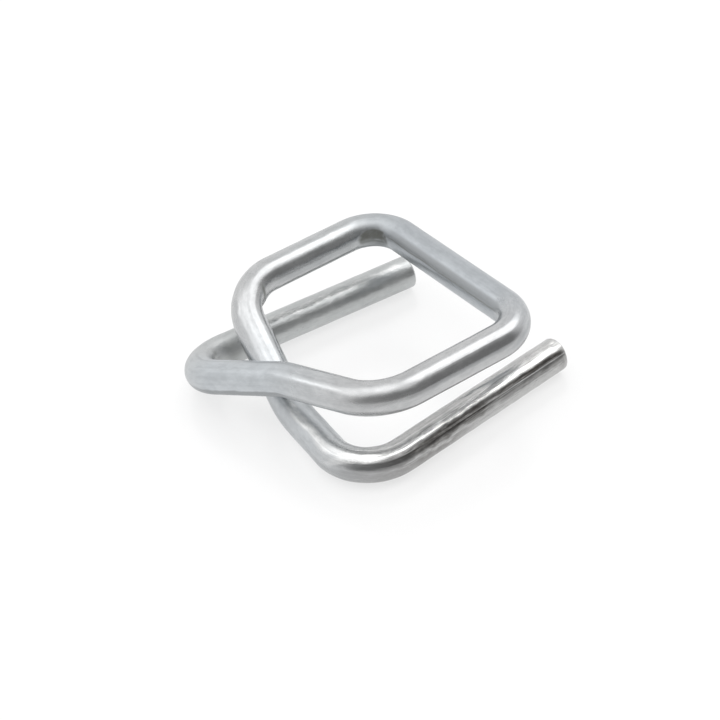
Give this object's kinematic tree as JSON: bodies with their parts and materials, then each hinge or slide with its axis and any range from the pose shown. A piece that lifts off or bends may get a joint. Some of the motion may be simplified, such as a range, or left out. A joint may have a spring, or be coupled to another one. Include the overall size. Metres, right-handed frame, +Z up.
{
  "type": "strapping buckle",
  "caption": "Bent steel wire buckle: a rectangular frame whose ends cross at the open side and run back under its side bars as prongs, which grip a looped packing strap.",
  "frame": {"origin": "middle of the buckle's outline, at the level that its prongs rest on", "axes": "+X along the side bars toward the crossbar and the cut ends, +Y across the bars toward the rear prong, +Z up from the prongs to the frame"},
  "size_m": [0.0296, 0.0276, 0.0097],
  "materials": {
    "zinc_wire": "bright galvanised drawn wire, satin to polished, with fine lengthwise draw lines"
  },
  "bodies": {
    "root": {"buckle_wire": "zinc_wire"}
  },
  "joints": []
}
